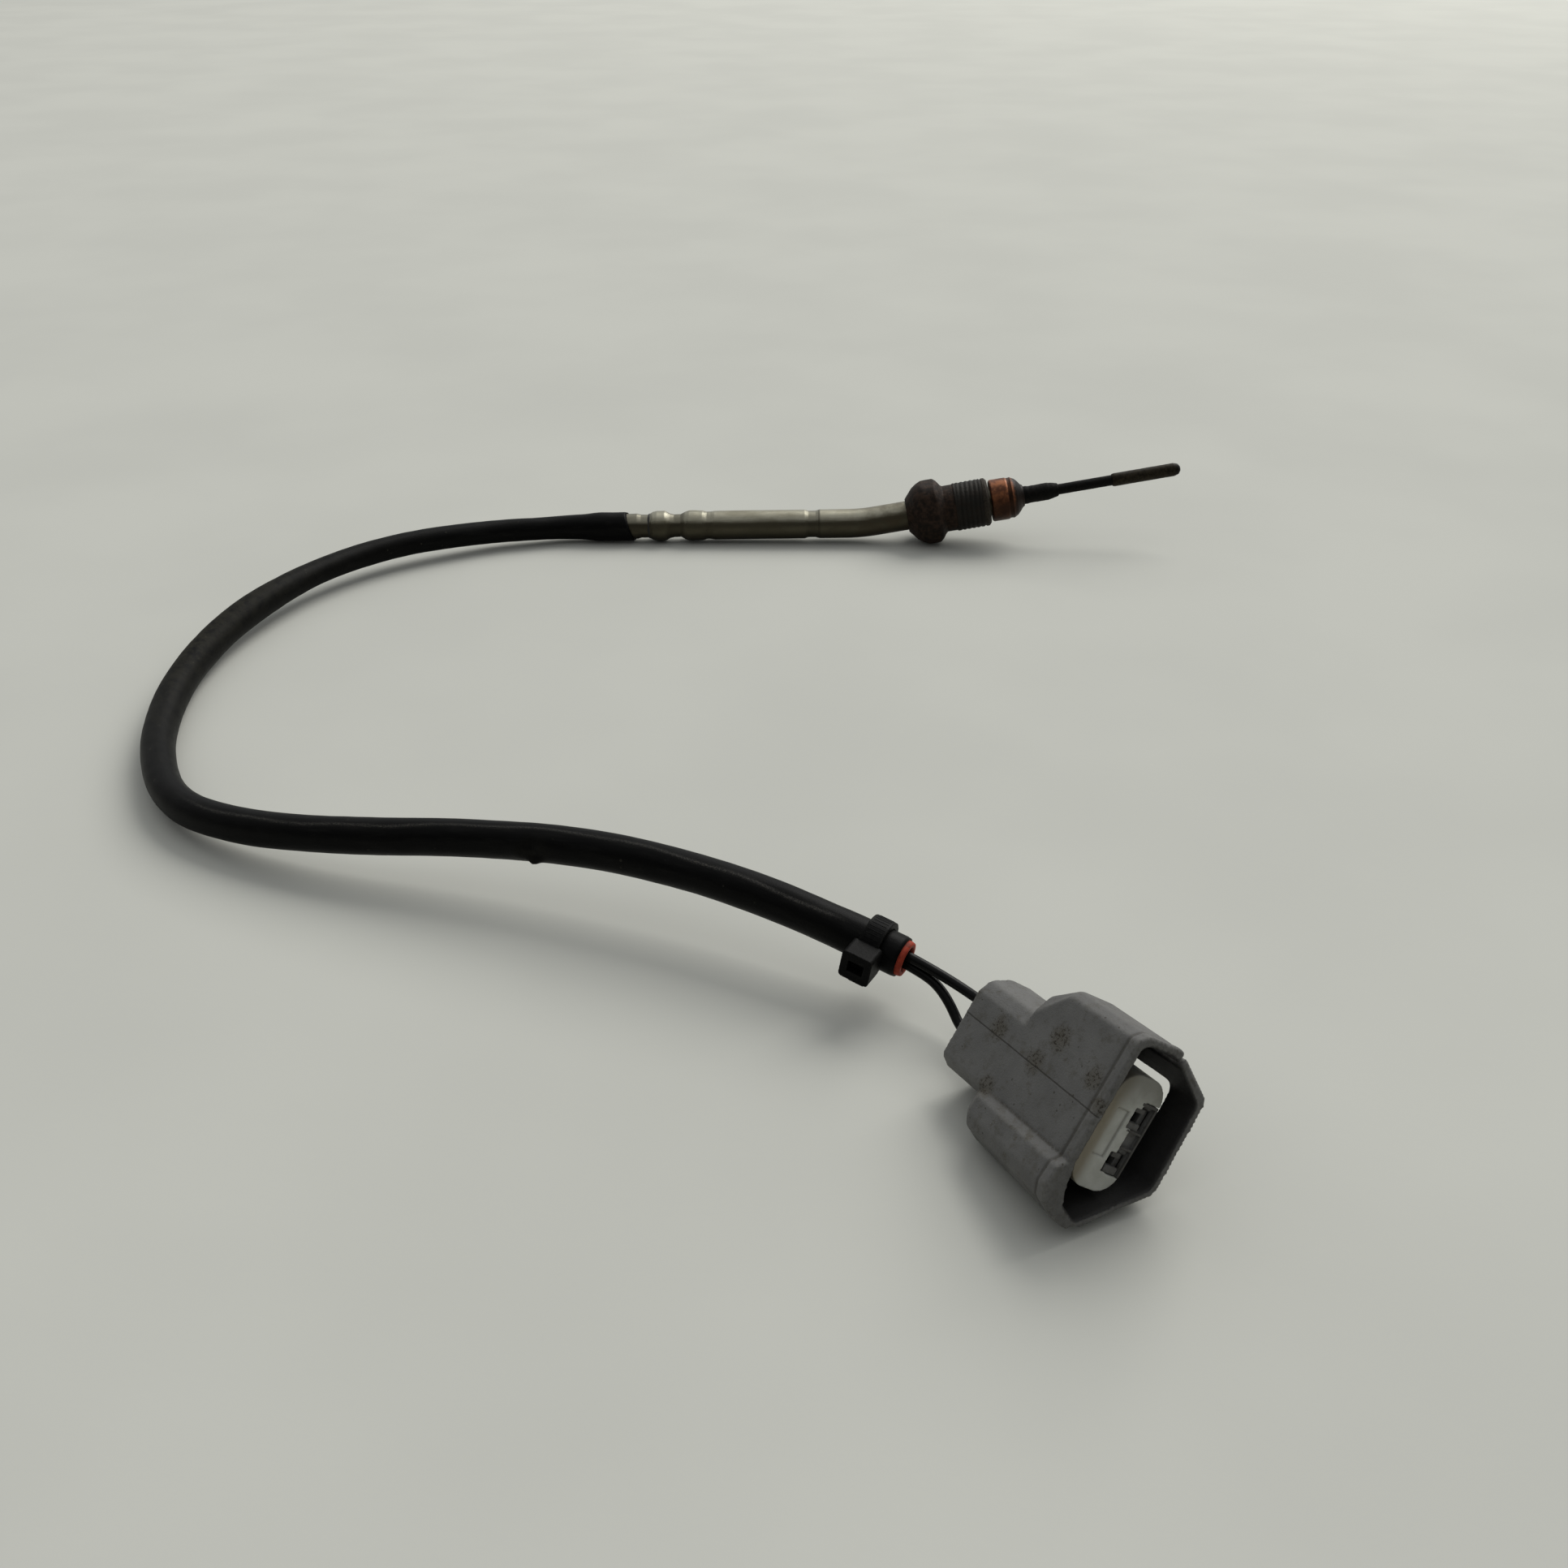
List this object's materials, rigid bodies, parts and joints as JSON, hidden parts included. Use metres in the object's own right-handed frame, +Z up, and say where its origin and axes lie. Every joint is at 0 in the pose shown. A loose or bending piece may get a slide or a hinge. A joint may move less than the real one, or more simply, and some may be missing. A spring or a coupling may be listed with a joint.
{
  "type": "exhaust gas temperature sensor",
  "caption": "Sheathed probe on a bent steel neck tube with a free-turning threaded gland nut, a sleeved lead and a moulded plug.",
  "frame": {"origin": "on the surface it lies on, under the middle of the rigid probe (bottom centre of its box)", "axes": "+X along the neck tube towards the probe's tip, +Z up, +Y away from the lead's plug"},
  "size_m": [0.2439, 0.2619, 0.0277],
  "materials": {
    "nut_steel": "heat-darkened",
    "neck_steel": "satin, drawn",
    "collar_steel": "heat-tinted",
    "sheath_alloy": "scaled black",
    "cap_alloy": "scaled olive brown",
    "mineral_powder": "chalky ceramic",
    "element_ceramic": "ceramic",
    "tinned_brass": "tinned",
    "black_rubber": "matt",
    "sleeve_vinyl": "satin with a dull seam",
    "orange_silicone": "satin",
    "wire_insulation": "glossy",
    "tie_nylon": "moulded",
    "grey_plastic": "moulded, soiled",
    "white_plastic": "moulded, stained"
  },
  "bodies": {
    "sensor": {"steel_tube": "neck_steel", "tube_grommet": "black_rubber", "seat_collar": "collar_steel", "support_sheath": "sheath_alloy", "mineral_sheath": "sheath_alloy", "sheath_core": "mineral_powder", "tip_cap": "cap_alloy", "sensing_element": "element_ceramic", "tip_cement": "mineral_powder", "splice_insulator": "black_rubber", "lead_sleeve": "sleeve_vinyl", "inner_tube": "orange_silicone", "cable_tie": "tie_nylon", "connector_housing": "grey_plastic", "front_holder": "white_plastic", "ring_seal": "black_rubber", "sheath_wire_1": "sheath_alloy", "sheath_wire_2": "sheath_alloy", "splice_crimp_1": "tinned_brass", "splice_crimp_2": "tinned_brass", "lead_wire_1": "wire_insulation", "lead_wire_2": "wire_insulation", "wire_seal_1": "black_rubber", "wire_seal_2": "black_rubber", "terminal_1": "tinned_brass", "terminal_2": "tinned_brass"},
    "nut": {"gland_nut": "nut_steel"}
  },
  "joints": [
    {"name": "nut_spin", "type": "hinge", "parent": "sensor", "child": "nut", "pos_m": [0.01674, 0, 0.00936], "axis": [0.9836, 0, 0.1805], "continuous": true}
  ]
}
